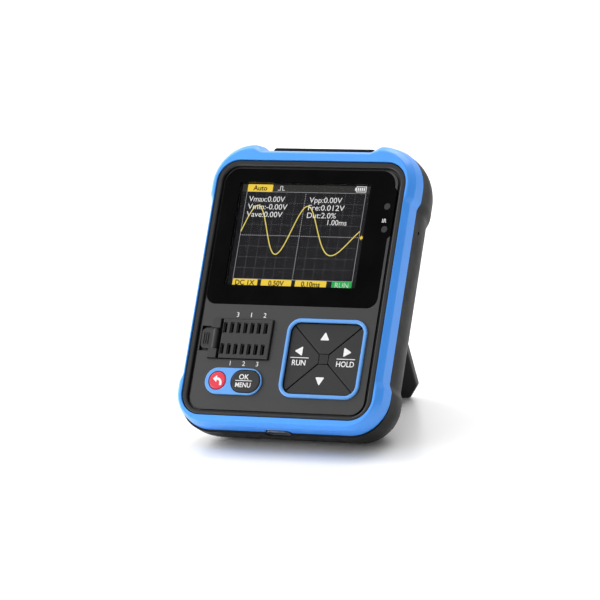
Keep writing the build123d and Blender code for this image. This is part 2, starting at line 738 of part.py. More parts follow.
def socket_slider():
    """The sliding top plate, with a funnel over each way."""
    right, left, low, high = SOCKET
    start, back = SOCKET_PLATE
    plate = block(left + start, right, low, high, SOCKET_FACE, back)
    plate = fillet(plate.faces().sort_by(Axis.Y)[0].edges(), 0.3)
    width, height, deep = FUNNEL
    for x, z in contact_spots():
        slot = slab(Pos(x, z) * Rectangle(*SLOT), -1, back + 1)
        plate -= slot + slab(Pos(x, z) * Rectangle(width, height), -1, deep)
    return plate


def socket_contact(x, z):
    """A forked spring contact: two leaves on one tail."""
    width, height, thick = CONTACT
    bottom = CONTACT_HOLE[2]
    tail = slab(Pos(x, z) * Rectangle(width, height), bottom - thick, bottom)
    leaf = Rectangle(thick, height)
    spread = (width - thick) / 2
    leaves = [slab(Pos(x + at, z) * leaf, 3.2, bottom) for at in (-spread, spread)]
    return joined([tail] + leaves)


def socket_lever():
    x, y = LEVER_AXIS
    middle = (SOCKET[2] + SOCKET[3]) / 2
    half = LEVER_W / 2
    arm = block(x - LEVER_REACH, x, middle - half, middle + half, y - 0.7, y + 0.5)
    arm = fillet(arm.edges().filter_by(Axis.Y).group_by(Axis.X)[0], 1.6)
    hub = upright(x, y, 2.4, middle - half, middle + half)
    grip = []
    for step in LEVER_STEPS:
        start = x - LEVER_REACH + step
        grip.append(block(start, start + 0.35, middle - 2, middle + 2, y - 1.0, y))
    return joined([arm, hub, cam_pin(0)] + grip)


# ------------------------------------------------------------------ connectors
def mcx_shell(x):
    """The jack's body: an open bore for the plug, then a narrower one for the insulator."""
    diameter, length = MCX_PLUG
    floor = MCX_TIP - MCX_DEPTH
    half, low, high, behind = MCX_FOOT
    base = block(x - half, x + half, low, high, BOARD_BACK, MCX_Y + behind)
    shell = base + upright(x, MCX_Y, MCX_D, high - 0.6, MCX_TIP)
    shell = chamfer(shell.faces().sort_by(Axis.Z)[-1].edges(), 0.3)
    shell -= upright(x, MCX_Y, MCX_BORE, floor, MCX_TIP + 1)
    return shell - upright(x, MCX_Y, diameter, floor - length, floor + 1)


def mcx_insulator(x):
    diameter, length = MCX_PLUG
    high = MCX_TIP - MCX_DEPTH
    plug = upright(x, MCX_Y, diameter, high - length, high)
    return plug - upright(x, MCX_Y, MCX_PIN[0], high - length - 1, high + 1)


def mcx_pin(x):
    outer, inner = MCX_PIN
    high = MCX_TIP - MCX_DEPTH
    pin = upright(x, MCX_Y, outer, high - MCX_PLUG[1], high)
    return pin - upright(x, MCX_Y, inner, high - MCX_SOCKET, high + 1)


def usb_shell():
    width, height, length = USB
    outer = Pos(0, USB_Y) * SlotOverall(width, height)
    inner = Pos(0, USB_Y) * SlotOverall(width - 2 * USB_WALL, height - 2 * USB_WALL)
    shell = extrude(Plane.XY.offset(USB_END) * outer, length)
    return shell - extrude(Plane.XY.offset(USB_END - 1) * inner, length - 0.5)


def usb_tongue():
    width, thick, inside = USB_TONGUE
    height, back_t = USB_BACK
    low, high = USB_END + inside, USB_END + USB[2] - 2.0
    plate = Plane.XY.offset(low) * Pos(0, USB_Y) * Rectangle(width, thick)
    back = Plane.XY.offset(high) * Pos(0, USB_Y) * Rectangle(width, height)
    return extrude(plate, high - low + back_t / 2) + extrude(back, back_t)


def power_switch_body():
    width, low, high, tall = POWER_BODY
    end_gap, near, far = POWER_CHANNEL
    body = block(-width / 2, width / 2, low, high, BOARD_BACK, BOARD_BACK + tall)
    half = (KNOB_STEM[0] + POWER_TRAVEL) / 2 + end_gap
    return body - block(-half, half, KNOB_STEM[1] - 0.3, high + 1, near, far)


def power_switch_knob():
    """Drawn at the off end of its travel."""
    x = -POWER_TRAVEL / 2
    width, low, *depths = KNOB_STEM
    stem = block(x - width / 2, x + width / 2, low, TOP, *depths)
    width, near, far = KNOB_CAP
    top = PLATFORM[1] + KNOB_OUT
    cap = block(x - width / 2, x + width / 2, TOP - 1.6, top, near, far)
    cap = fillet(cap.faces().sort_by(Axis.Z)[-1].edges(), 0.3)
    half, rise = KNOB_RIB[0] / 2, KNOB_RIB[1]
    for at in KNOB_RIBS:
        cap += block(x + at - half, x + at + half, top - 1, top + rise, near + 0.1, far - 0.1)
    return stem + cap


# ------------------------------------------------------------------ stand
def folded_stand():
    """The plate as it lies folded, drawn round its hinge line."""
    half = STAND_W / 2
    in_x, in_z = STAND_CHAMFER
    foot = STAND_REACH
    outline = [
        (half, STAND_HEEL),
        (half, -foot + in_z),
        (half - in_x, -foot),
        (-half + in_x, -foot),
        (-half, -foot + in_z),
        (-half, STAND_HEEL),
    ]
    radii = [STAND_HEEL_R] + [STAND_FOOT_R] * 4 + [STAND_HEEL_R]
    face = make_face(FilletPolyline(*outline, radius=radii, close=True).edges())
    plate = slab(face, -STAND_T / 2, STAND_T / 2)
    flats = plate.faces().sort_by(Axis.Y)
    plate = fillet(flats[-1].edges() + flats[0].edges(), STAND_EDGE_R)
    side, corner, middle, deep = STAND_DISH
    dish = slab(rounded(side, side, corner, z=middle), -STAND_T, -STAND_T / 2 + deep)
    rib = Rectangle(side, STAND_RIB_W)
    ribs = [slab(Pos(0, z) * rib, -STAND_T / 2, 0) for z in STAND_RIBS]
    plate = joined([plate - dish] + ribs)
    axle = crossbar(0, 0, TRUNNION[0], -half - TRUNNION[1], half + TRUNNION[1])
    return plate + axle


def stand():
    return open_stand_frame() * folded_stand()


# ------------------------------------------------------------------ battery
def battery_cell():
    width, height, thick = CELL
    x, z = CELL_AT
    cell = slab(rounded(width, height, 1.5, x, z), CELL_BACK - thick, CELL_BACK)
    cell = fillet(cell.faces().sort_by(Axis.Y)[0].edges(), 1.2)
    end = z + height / 2
    half = width / 2 - 1
    length, *depths = CELL_SEAL
    return cell + block(x - half, x + half, end - 0.5, end + length, *depths)


def battery_pad():
    x, z = CELL_AT
    pad = slab(rounded(*CELL_PAD, 1.0, x, z), CELL_BACK, RECESS_FLOOR - RECESS_WALL)
    y, hinge_z = STAND_AXIS
    return pad - crossbar(y, hinge_z, 2 * (STAND_HEEL + POCKET_GAP) + 0.4, -SIDE, SIDE)


def lead(x):
    """One insulated wire from the cell's seal down to its plug on the board."""
    top = CELL_AT[1] + CELL[1] / 2 + 2.6
    points = [(20.9, top), (19.2, top), (15.4, top + 1.0), (13.4, top + 4.6), (12.4, top + 8.3)]
    reach = [0.45 * 1.7 / 0.132, 3.6, 3.0]
    path = Pos(x, 0, 0) * (Plane.YZ * FilletPolyline(*points, radius=reach))
    start = Plane(origin=path @ 0, z_dir=path % 0)
    return sweep(start * Circle(LEAD_D / 2), path)


def battery_plug():
    width, height, *depths = PLUG
    z = CELL_AT[1] + CELL[1] / 2 + PLUG_UP
    return slab(Pos(0, z) * Rectangle(width, height), *depths)


def battery_header():
    width, back = HEADER
    plug_w, plug_h, near, far = PLUG
    z = CELL_AT[1] + CELL[1] / 2 + PLUG_UP
    top = z + plug_h / 2
    body = block(-width / 2, width / 2, top - 3.9, top + 2.9, BOARD_BACK, back)
    half = plug_w / 2 + GAP
    return body - block(-half, half, top - 5, top + GAP, near - GAP, far + GAP)


# ------------------------------------------------------------------ fasteners
def case_screw(x, z):
    return screw(x, z, CASE_HEAD, CASE_SEAT, CASE_SHANK)


def board_screw(x, z):
    return screw(x, z, BOARD_HEAD, BOARD_BACK, BOARD_SHANK)


def screw(x, z, head, seat, shank):
    """A round-headed screw with a cross drive, its head towards the back."""
    diameter, tall = head
    top = disc(x, z, diameter, seat, seat + tall)
    top = fillet(top.faces().sort_by(Axis.Y)[-1].edges(), 0.38 * tall)
    return top + disc(x, z, *shank, seat) - cross_socket(x, z, DRIVE * diameter, seat + tall)


def cross_socket(x, z, size, face):
    bar = Rectangle(size, 0.22 * size)
    cuts = [slab(Pos(x, z) * Rot(0, 0, turn) * bar, face - 0.7, face + 1) for turn in (0, 90)]
    return joined(cuts)


# ------------------------------------------------------------------ assembly
def build_nodes():
    spots = switch_spots()
    nodes = {
        "front_bumper": front_bumper(),
        "front_case": front_case(),
        "rear_case": rear_case(),
        "display_lens": display_lens(),
        "lens_tape": lens_tape(),
        "lcd_glass": lcd_glass(),
        "lcd_backlight": lcd_backlight(),
        "lcd_flex": lcd_flex(),
        "main_board": main_board(),
        "dpad_ring": pad_ring(),
        "menu_plate": menu_plate(),
        "key_up": pad_key(0),
        "key_left": pad_key(90),
        "key_down": pad_key(180),
        "key_right": pad_key(270),
        "key_back": back_key(),
        "key_ok": ok_key(),
        "switch_bodies": group([tactile_body(x, z) for x, z in spots.values()]),
        "socket_base": socket_base(),
        "socket_slider": socket_slider(),
        "socket_contacts": group([socket_contact(x, z) for x, z in contact_spots()]),
        "socket_lever": socket_lever(),
        "mcx_shells": group([mcx_shell(side * MCX_X) for side in (-1, 1)]),
        "mcx_insulators": group([mcx_insulator(side * MCX_X) for side in (-1, 1)]),
        "mcx_pins": group([mcx_pin(side * MCX_X) for side in (-1, 1)]),
        "usb_shell": usb_shell(),
        "usb_tongue": usb_tongue(),
        "power_switch_body": power_switch_body(),
        "power_switch_knob": power_switch_knob(),
        "stand": stand(),
        "battery_cell": battery_cell(),
        "battery_pad": battery_pad(),
        "battery_leads": group([lead(-LEAD_SPREAD), lead(LEAD_SPREAD)]),
        "battery_plug": battery_plug(),
        "battery_header": battery_header(),
        "case_screws": group([case_screw(x, z) for x, z in CASE_SCREWS]),
        "board_screws": group([board_screw(x, z) for x, z in BOARD_SCREWS]),
        "ir_receiver": ir_receiver(),
        "charge_led": charge_led(),
        "lcd_connector": chip(FLEX_END + 1.55, FLEX[0], 3.0, 18.0, 1.0, front=True),
        "processor": chip(-14.0, 33.0, 10.0, 10.0, 1.4),
        "sampling_converter": chip(-26.0, 20.0, 7.0, 7.0, 1.0),
        "shield_can": shield_can(),
        "charger_chip": chip(8.0, -38.0, 5.0, 4.0, 1.0),
        "crystal": chip(-22.6, 34.0, 3.2, 2.5, 0.9),
        "boost_inductors": group([inductor(x, -38.5) for x in (-10.0, 16.0)]),
        "filter_capacitors": group([capacitor(x, z) for x, z in CAPACITORS]),
    }
    for name, (x, z) in spots.items():
        nodes["plunger_" + name] = tactile_plunger(x, z)
    return nodes


def ir_receiver():
    x, z = IR_WINDOW
    body = block(x - 1.9, x + 1.9, z - 1.9, z + 1.9, 6.2, BOARD_FRONT)
    return body + disc(x, z, 2.8, 5.2, 6.3)


def charge_led():
    x, z = LED_WINDOW
    return block(x - 1.0, x + 1.0, z - 0.6, z + 0.6, BOARD_FRONT - 0.8, BOARD_FRONT)


def settle(nodes):
    """Lean the instrument back and stand it on Z = 0, over the middle of its box."""
    leant = {name: Rot(-LEAN, 0, 0) * part for name, part in nodes.items()}
    boxes = [leant[name].bounding_box() for name in OUTSIDE]
    low = [min(corner) for corner in zip(*(tuple(box.min) for box in boxes))]
    high = [max(corner) for corner in zip(*(tuple(box.max) for box in boxes))]
    shift = Pos(-(low[0] + high[0]) / 2, -(low[1] + high[1]) / 2, -low[2])
    return shift, {name: shift * part for name, part in leant.items()}


def main():
    os.makedirs("parts", exist_ok=True)
    shift, nodes = settle(build_nodes())
    print("device frame moved by", shift.position)
    for name, part in nodes.items():
        export_step(part, f"parts/{name}.step")


if __name__ == "__main__":
    main()
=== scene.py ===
import json
from math import atan2, cos, pi, radians, sin, tan

import bmesh
import bpy
from mathutils import Matrix, Vector


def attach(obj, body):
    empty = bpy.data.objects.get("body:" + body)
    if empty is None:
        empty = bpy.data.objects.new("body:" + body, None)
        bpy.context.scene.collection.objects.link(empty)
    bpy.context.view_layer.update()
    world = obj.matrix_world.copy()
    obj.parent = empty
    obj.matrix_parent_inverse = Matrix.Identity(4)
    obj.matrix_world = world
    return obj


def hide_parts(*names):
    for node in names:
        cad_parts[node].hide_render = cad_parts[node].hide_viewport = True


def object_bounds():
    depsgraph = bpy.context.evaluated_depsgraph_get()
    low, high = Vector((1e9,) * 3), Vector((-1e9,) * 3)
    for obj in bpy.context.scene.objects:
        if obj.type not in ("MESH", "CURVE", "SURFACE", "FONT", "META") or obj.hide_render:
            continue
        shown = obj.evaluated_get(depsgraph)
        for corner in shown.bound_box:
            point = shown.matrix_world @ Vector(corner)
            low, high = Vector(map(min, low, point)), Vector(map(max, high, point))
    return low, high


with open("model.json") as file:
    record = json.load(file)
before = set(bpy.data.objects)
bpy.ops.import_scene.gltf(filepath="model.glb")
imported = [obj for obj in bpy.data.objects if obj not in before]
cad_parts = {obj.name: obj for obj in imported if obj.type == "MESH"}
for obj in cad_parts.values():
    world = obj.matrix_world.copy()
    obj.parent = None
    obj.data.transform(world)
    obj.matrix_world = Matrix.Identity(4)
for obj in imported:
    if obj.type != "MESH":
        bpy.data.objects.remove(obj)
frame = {"nodes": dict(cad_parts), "record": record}
cad_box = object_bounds()

# A pocket oscilloscope leaning back on its stand. The CAD nodes are the instrument; this script
# gives each its finish and adds what is printed on it and what its display shows.
#
# Flat pieces are drawn in millimetres on the face: x runs across it, z up it, and depth goes
# into the case. Everything that stands in the frame is in metres.

MM = 0.001
INK = 0.02  # thickness of a printed layer, mm
FLAT = 0.01  # how far a face may stray and still count as flat, mm
FACE_TO_USB = 48.9  # from the middle of the face down to the mouth of the USB receptacle, mm

# camera, from the perspective of the photograph
CAMERA_AROUND = 26.55  # degrees to the right of the face's own axis
CAMERA_ABOVE = -15.1  # degrees above that axis
CAMERA_ROLL = 9.17
CAMERA_DISTANCE = 1539.0  # from the middle of the face, mm
CAMERA_LENS = 273.2  # focal length on a 36 mm sensor
CLIP = (0.05, 50)  # nearest and farthest that it sees, in metres
AIM = (2.4, -3.7)  # where it aims, right of and above the middle of the face in its own view, mm

# the display: a standard 2.4 inch panel, whose picture lies in from the edge of its glass
PICTURE = (48.96, 36.72)
PICTURE_MARGIN = 3.68  # from the right edge of the glass to the picture
PICTURE_UP = 0.65  # how far the picture lies above the middle of the glass
PICTURE_BORDER = (1.95, 2.35, 2.82, 2.72)  # round the graticule: left, right, below, above
PIXEL = 0.153
WAVES = 20  # that the wave texture draws in 2 pi
WINDOW_MARGIN = 0.1  # between the picture and the black print round it
PANE_SHRINK = 0.9995  # keeps the clear pane off the print beside it
SENSOR_HOLE = 2.4  # diameter of each small round window
SENSOR_FILTER = (2.38, 0.5, 0.3)  # diameter, depth behind the lens's face, thickness

# what the display shows. Widths are from the graticule's left or right edge, and heights are
# from the low or high edge of the picture or the graticule.
GRID = (12, 8)  # divisions across and up
TICKS = 5  # in each division
DOT = (0.06, 0.25, 0.22)  # of the dotted lines: half width, gap before it, length
TICK = (0.12, 0.3)  # marks along the middle lines: half width, length
RULE = (0.12, 0.14)  # lines round the graticule: upright, level
WAVE_AT = (1.45, 2.05)  # its crest and its middle line, right of and above the graticule's middle
WAVE_HEIGHT = 8.7  # from its middle line to a crest
WAVE_TURN = (19.16, 0.296)  # degrees per mm, and how fast that falls off to the right
WAVE_LINE = 0.34
STATUS_BADGE = (9.5, 2.65, 0.05)  # width, and how far its foot and top lie below the edge
BADGE_ROW = (0.05, 2.7)  # foot and top of the badges along the bottom
# the badges along the bottom: left and right end, and the word
BADGES = ((0.0, 9.4, "DC 1X"), (10.8, 22.2, "0.50V"), (23.6, 35.3, "0.10ms"))
STATUS_FOOT = 2.2  # how far the foot of its word lies below the edge
AUTO_WIDTH = 5.3
BADGE_LETTER = 1.7
BADGE_WORD_FOOT = 0.6
BADGE_BOLD = 0.02
RUN_BADGE = (7.35, 0.1)  # how far it reaches inside and beyond the graticule's right edge
RUN_WORD = (-3.6, 0.5, 1.8, 5.0)  # middle and foot, from the same edges, then height and width
MARKER_LEVEL = 18.4  # above the low edge of the picture
MARKER = (0.25, 1.0, 0.9)  # level marker beside the graticule: tip, base, half height
MARKER_TAIL = (0.9, 1.8, 0.4)  # its start, end and half height
# corners of the pulse sign, from the graticule's left edge and the top of the picture
PULSE = ((11.6, -2.0), (12.4, -2.0), (12.4, -0.6), (13.2, -0.6), (13.2, -2.0), (14.0, -2.0))
PULSE_HALF = 0.1  # half the width of its line
BATTERY_AT = (0.05, -1.15)  # its right end and middle, from the graticule's right and the top
BATTERY = (3.8, 1.05, 0.25)  # width, half height and line of its outline
BATTERY_NOSE = (0.45, 0.5)  # length and half height
CELL = (0.5, 0.75, 0.52)  # first charged cell's start, the step to the next, its width
CELLS = 4
READOUTS = (("Vmax:0.00V", "Vpp:0.00V"), ("Vmin:-0.00V", "Fre:0.012V"), ("Vave:0.00V", "Dut:2.0%"))
READOUT_ROW = (3.5, 2.75)  # from the top to the first row, and from row to row
READOUT_COLUMNS = (1.1, 1.7)  # from the graticule's left edge and from its middle
LETTER = (1.36, 1.9)  # width and height of a letter in the readouts
TIME_READOUT = (5.4, 11.4, 1.85)  # inside the right edge, below the top, and its height

# legends on the keys and the panel, from the middle of the ring or of their key
ARROW = (1.95, 0.22)  # size and rounding of the arrows on the direction keys
ARROWS = {
    "key_up": (-0.7, 7.6, 0),
    "key_left": (-9.2, 2.6, 90),
    "key_down": (-0.3, -7.3, 180),
    "key_right": (8.0, 2.7, 270),
}
# the words under two of the arrows: middle and width
KEY_WORDS = {"key_left": ("RUN", -9.0, 5.0), "key_right": ("HOLD", 8.2, 6.6)}
KEY_BAR = (3.4, 0.15, 0.4)  # the line over those words: half length, foot and top
KEY_WORD = (-2.4, 1.85)  # foot and height of the words
OK_SHIFT = -0.7  # how far the OK key's words lie beside its middle
OK_BAR = (3.1, 0.1, 0.32)  # the line between them: half length, foot and top
OK_WORD = (0.7, 1.7)  # foot and height of the upper word
MENU_WORD = (-2.1, 1.6, 5.7)  # foot, height and width of the lower word
BOLD = 0.012  # how much fatter than the font's own the key words are
RETURN_HEAD = ((-1.7, 0.55), (-0.2, -0.75), (-0.2, 1.85))
RETURN_ROUNDING = 0.15
RETURN_ENDS = ((-0.3, 0.55), (1.35, -1.7))  # of the tail
RETURN_BEND = (0.1, -1.0, 1.3, 1.55)  # middle and radii of the tail's bend
RETURN_STEPS = 8
RETURN_LINE = 0.85
SOCKET_NUMBERS = (("2", "3"), ("1", "2"), ("3", "1"))  # from the right: upper and lower row
NUMBER_STEP = (3.8, 5.08)  # from the socket's right edge to the first, and to the next
NUMBER_FOOT = (1.0, -2.4)  # above the socket's top and below its bottom
NUMBER_HEIGHT = 1.6
IR_MARK = (-0.3, 2.2, 1.4)  # middle and foot, from the middle of the receiver, and its height

# the studio, in metres and watts
BRIGHT_SIDE = (-0.6, 0.3, 0.74)
ROOM_LIGHT = (0.2, 1.5)  # away from the bright side, and towards it
ROOM_TURN = -0.3  # the cosine off the bright side from which the room is at its darkest
FLOOR_REACH = 6.0
LIGHTS = (
    ("key_left", (-1.3, 0.1, 1.0), (0.9, 0.9), 9),
    ("near_left", (-0.27, -0.24, 0.07), (0.2, 0.2), 0.6),
    ("top_back", (0.1, 0.9, 1.3), (1.2, 0.8), 9),
)


# ------------------------------------------------------------------ device frame
def device_matrix():
    """Millimetres on the instrument to metres in the frame, from the mounts of the record."""
    mounts = {mount["name"]: mount for mount in frame["record"]["mounts"]}
    inward = Vector(mounts["back"]["axis"]).normalized()
    upward = Vector(mounts["mcx_left"]["axis"]).normalized()
    across = inward.cross(upward)
    turn = Matrix((across, inward, upward)).transposed().to_4x4()
    untilt = turn.transposed()
    face = min((untilt @ vertex.co).y for vertex in frame["nodes"]["key_ok"].data.vertices)
    jack = untilt @ Vector(mounts["usb_c"]["pos_m"])
    middle = turn @ Vector((jack.x, face, jack.z + FACE_TO_USB * MM))
    return Matrix.Translation(middle) @ turn @ Matrix.Scale(MM, 4)


DEVICE = device_matrix()
TO_DEVICE = DEVICE.inverted()


class Extent:
    """How far a CAD node reaches on the instrument, in millimetres."""

    def __init__(self, node):
        points = [TO_DEVICE @ vertex.co for vertex in frame["nodes"][node].data.vertices]
        self.left, self.near, self.low = (min(p[i] for p in points) for i in range(3))
        self.right, self.far, self.high = (max(p[i] for p in points) for i in range(3))
        self.x, self.z = (self.left + self.right) / 2, (self.low + self.high) / 2


def near_outline(node):
    """The outline of the flat face that a CAD node turns to the viewer, as x and z."""
    mesh = frame["nodes"][node].data
    near = Extent(node).near
    seen = {}
    for polygon in mesh.polygons:
        points = [TO_DEVICE @ mesh.vertices[i].co for i in polygon.vertices]
        if max(p.y for p in points) - near < FLAT:
            places = [(round(p.x, 3), round(p.z, 3)) for p in points]
            for start, end in zip(places, places[1:] + places[:1]):
                seen[start, end] = True
    following = {start: end for start, end in seen if (end, start) not in seen}
    outline = [next(iter(following))]
    while following[outline[-1]] != outline[0]:
        outline.append(following[outline[-1]])
    return outline


def box(left, right, low, high):
    return [(left, low), (right, low), (right, high), (left, high)]


def circle(x, z, diameter, steps=40):
    spokes = [2 * pi * step / steps for step in range(steps)]
    return [(x + diameter / 2 * cos(angle), z + diameter / 2 * sin(angle)) for angle in spokes]


# ------------------------------------------------------------------ material nodes
RANGE_SOCKETS = ("From Min", "From Max", "To Min", "To Max")

# moulded plastic
MOTTLE = 0.07  # how far its colour drifts, as a share
SHEEN_DRIFT = 0.05  # how far its roughness drifts
EDGE_SHEEN_COVER = 0.35  # how much of the lighter edge colour, a painted highlight, shows on the eased edges
WORN_SHEEN = -0.1  # how those edges' roughness differs
EDGE_R = 0.25  # how far its edges are eased in the shading, mm
RIM_POLISH = -0.3  # how the rim's roughness differs from the panel's, as a share


def linear(red, green, blue):
    """An sRGB colour of 0 to 255 as a shader takes it."""
    return tuple(decoded(value) for value in (red, green, blue)) + (1,)


def decoded(value):
    return ((value / 255 + 0.055) / 1.055) ** 2.4 if value > 10 else value / 3295


class Finish:
    """A principled material, with short calls for the nodes that the finishes share."""

    def __init__(self, name, colour, roughness, **sockets):
        self.material = bpy.data.materials.new(name)
        self.material.use_nodes = True
        self.nodes = self.material.node_tree.nodes
        self.shader = self.nodes["Principled BSDF"]
        self.shader.inputs["Base Color"].default_value = colour
        self.shader.inputs["Roughness"].default_value = roughness
        for socket, value in sockets.items():
            self.shader.inputs[socket.replace("_", " ")].default_value = value
        self.place = self.nodes.new("ShaderNodeTexCoord").outputs["Object"]

    def link(self, source, target):
        self.material.node_tree.links.new(source, target)

    def put(self, source, socket):
        self.link(source, self.shader.inputs[socket])

    def noise(self, size, detail=3.0, stretch=(1, 1, 1)):
        """Clouds about that many millimetres across, from 0 to 1."""
        turn = self.nodes.new("ShaderNodeMapping")
        turn.inputs["Scale"].default_value = stretch
        self.link(self.place, turn.inputs["Vector"])
        cloud = self.nodes.new("ShaderNodeTexNoise")
        cloud.inputs["Scale"].default_value = 1 / (size * MM)
        cloud.inputs["Detail"].default_value = detail
        self.link(turn.outputs["Vector"], cloud.inputs["Vector"])
        return cloud.outputs["Fac"]

    def smear(self):
        """The haze that fingers leave on a window."""
        return self.noise(9, 4, (1, 1, 0.4))

    def spread(self, value, low, high, start=0.3, end=0.7):
        """Stretch a value's range from start..end to low..high."""
        remap = self.nodes.new("ShaderNodeMapRange")
        for socket, number in zip(RANGE_SOCKETS, (start, end, low, high)):
            remap.inputs[socket].default_value = number
        self.link(value, remap.inputs["Value"])
        return remap.outputs["Result"]

    def sum(self, first, second, operation="ADD"):
        """The sum, or another operation, of two values that may be numbers or linked."""
        maths = self.nodes.new("ShaderNodeMath")
        maths.operation = operation
        for slot, value in enumerate((first, second)):
            if isinstance(value, (int, float)):
                maths.inputs[slot].default_value = value
            else:
                self.link(value, maths.inputs[slot])
        return maths.outputs["Value"]

    def tint(self, share, dark, light):
        """A colour between two, by a share."""
        mix = self.nodes.new("ShaderNodeMix")
        mix.data_type = "RGBA"
        self.link(share, mix.inputs["Factor"])
        for socket, colour in (("A", dark), ("B", light)):
            if isinstance(colour, tuple):
                mix.inputs[socket].default_value = colour
            else:
                self.link(colour, mix.inputs[socket])
        return mix.outputs["Result"]

    def clouded(self, cloud, dark, light):
        """Let the colour drift between two, by a cloud."""
        self.put(self.tint(self.spread(cloud, 0, 1), dark, light), "Base Color")

    def patched(self, cloud, low, high):
        """Let the roughness drift between two values, by a cloud."""
        self.put(self.spread(cloud, low, high), "Roughness")

    def relief(self, height, depth, normal=None):
        """Bump the surface by a height of 0 to 1 that is depth millimetres deep."""
        bump = self.nodes.new("ShaderNodeBump")
        bump.inputs["Distance"].default_value = depth * MM
        self.link(height, bump.inputs["Height"])
        if normal is not None:
            self.link(normal, bump.inputs["Normal"])
        return bump.outputs["Normal"]

    def soft_edges(self, radius):
        """The normal of a surface whose corners are eased by a radius in millimetres."""
        bevel = self.nodes.new("ShaderNodeBevel")
        bevel.samples = 4
        bevel.inputs["Radius"].default_value = radius * MM
        return bevel.outputs["Normal"]

    def off_face(self, depth):
        """0 on the ground that lies at one depth of the face, 1 from 0.06 mm off it."""
        inward = self.nodes.new("ShaderNodeVectorMath")
        inward.operation = "DOT_PRODUCT"
        self.link(self.place, inward.inputs[0])
        *direction, offset = TO_DEVICE.row[1]
        inward.inputs[1].default_value = direction
        away = self.sum(self.sum(inward.outputs["Value"], offset - depth), 0, "ABSOLUTE")
        return self.spread(away, 0, 1, 0.03, 0.06)

    def edges(self, eased):
        """1 on the corners that soft_edges eases, 0 on flat ground."""
        plain = self.nodes.new("ShaderNodeNewGeometry").outputs["Normal"]
        across = self.nodes.new("ShaderNodeVectorMath")
        across.operation = "DOT_PRODUCT"
        self.link(eased, across.inputs[0])
        self.link(plain, across.inputs[1])
        return self.spread(across.outputs["Value"], 1, 0, 0.75, 0.985)


def scaled(colour, share):
    """A colour made darker or brighter by a share."""
    return tuple(min(1, c * share) for c in colour[:3]) + (1,)


def moulded(name, colour, roughness, grain=0.22, depth=0.012, edge_sheen=1.25, uneven=1.0, **sockets):
    """Moulded plastic: spark-eroded grain, faint mottling, and handled edges that are less rough and
    whose colour is painted lighter as a highlight.
    """
    look = Finish(name, colour, roughness, **sockets)
    fine = look.noise(grain, 2)
    broad = look.noise(14, 4)
    eased = look.soft_edges(EDGE_R)
    edge_wear_and_sheen = look.edges(eased)
    mottle, drift = MOTTLE * uneven, SHEEN_DRIFT * uneven
    body = look.tint(look.spread(broad, 0, 1), scaled(colour, 1 - mottle), scaled(colour, 1 + mottle))
    # painted highlight: the eased edges take a lighter copy of the colour
    look.body = look.tint(look.sum(edge_wear_and_sheen, EDGE_SHEEN_COVER, "MULTIPLY"), body, scaled(colour, edge_sheen))
    look.put(look.body, "Base Color")
    patchy = look.spread(look.noise(6, 3), roughness - drift, roughness + drift)
    look.sheen = look.sum(patchy, look.sum(edge_wear_and_sheen, WORN_SHEEN * uneven, "MULTIPLY"))
    look.put(look.sheen, "Roughness")
    look.put(look.relief(fine, depth, eased), "Normal")
    return look


def panel(colour, rim_shade_colour):
    """The grained panel, whose raised rim and groove are moulded smooth and painted near black as
    shade.
    """
    look = moulded("panel_grey", colour, 0.5, grain=0.3, depth=0.02)
    rim_shade_and_polish = look.off_face(Extent("display_lens").near)
    # painted shade: the rim and the groove take a near-black colour
    look.put(look.tint(rim_shade_and_polish, look.body, rim_shade_colour), "Base Color")
    smooth = look.sum(look.sum(rim_shade_and_polish, RIM_POLISH, "MULTIPLY"), 1)
    look.put(look.sum(look.sheen, smooth, "MULTIPLY"), "Roughness")
    return look


def metal(name, colour, roughness):
    """Plated or drawn metal: fine streaks and small dark tarnish."""
    look = Finish(name, colour, roughness, Metallic=1.0)
    streaks = look.noise(0.8, 3, (1, 1, 12))
    tarnish = look.spread(look.noise(2.5, 5), 0, 1, 0.35, 0.65)
    look.put(look.tint(tarnish, scaled(colour, 0.72), colour), "Base Color")
    look.patched(streaks, roughness - 0.06, roughness + 0.1)
    look.put(look.relief(streaks, 0.004, look.soft_edges(0.12)), "Normal")
    return look


def lens_print():
    """Hard-coated acrylic over black print, with the faint haze of a handled window."""
    look = Finish("lens_print", linear(7, 7, 8), 0.12, Specular_IOR_Level=0.02)
    smear = look.smear()
    look.clouded(smear, linear(5, 5, 6), linear(10, 10, 11))
    look.patched(smear, 0.08, 0.2)
    look.put(look.relief(smear, 0.001, look.soft_edges(0.2)), "Normal")
    return look


def lens_window():
    """The clear part of the lens: only its haze and its sheen show."""
    look = Finish("lens_window", (0.02, 0.02, 0.02, 1), 0.08, Alpha=0.04, Specular_IOR_Level=0.2)
    look.patched(look.smear(), 0.04, 0.14)
    return look


def smoked():
    """The dark filter behind each small round window."""
    look = Finish("smoked_filter", linear(26, 25, 28), 0.2)
    cloud = look.noise(0.8, 3)
    look.clouded(cloud, linear(20, 19, 22), linear(36, 34, 38))
    look.patched(cloud, 0.16, 0.3)
    return look


def lit(name, colour):
    """Part of the display's picture: light in rows of pixels, on a dark ground."""
    look = Finish(name, (0.005, 0.005, 0.006, 1), 0.4, Specular_IOR_Level=0.06)
    turn = look.nodes.new("ShaderNodeVectorRotate")
    turn.rotation_type = "X_AXIS"
    turn.inputs["Angle"].default_value = -atan2(DEVICE.col[1].z, DEVICE.col[1].y)
    look.link(look.place, turn.inputs["Vector"])
    rows = look.nodes.new("ShaderNodeTexWave")
    rows.bands_direction = "Z"
    rows.inputs["Scale"].default_value = 2 * pi / (WAVES * PIXEL * MM)
    look.link(turn.outputs["Vector"], rows.inputs["Vector"])
    line = look.spread(rows.outputs["Fac"], 0, 1, 0, 1)
    look.put(look.tint(line, scaled(colour, 0.86), scaled(colour, 1.06)), "Emission Color")
    look.shader.inputs["Emission Strength"].default_value = 1.0
    return look


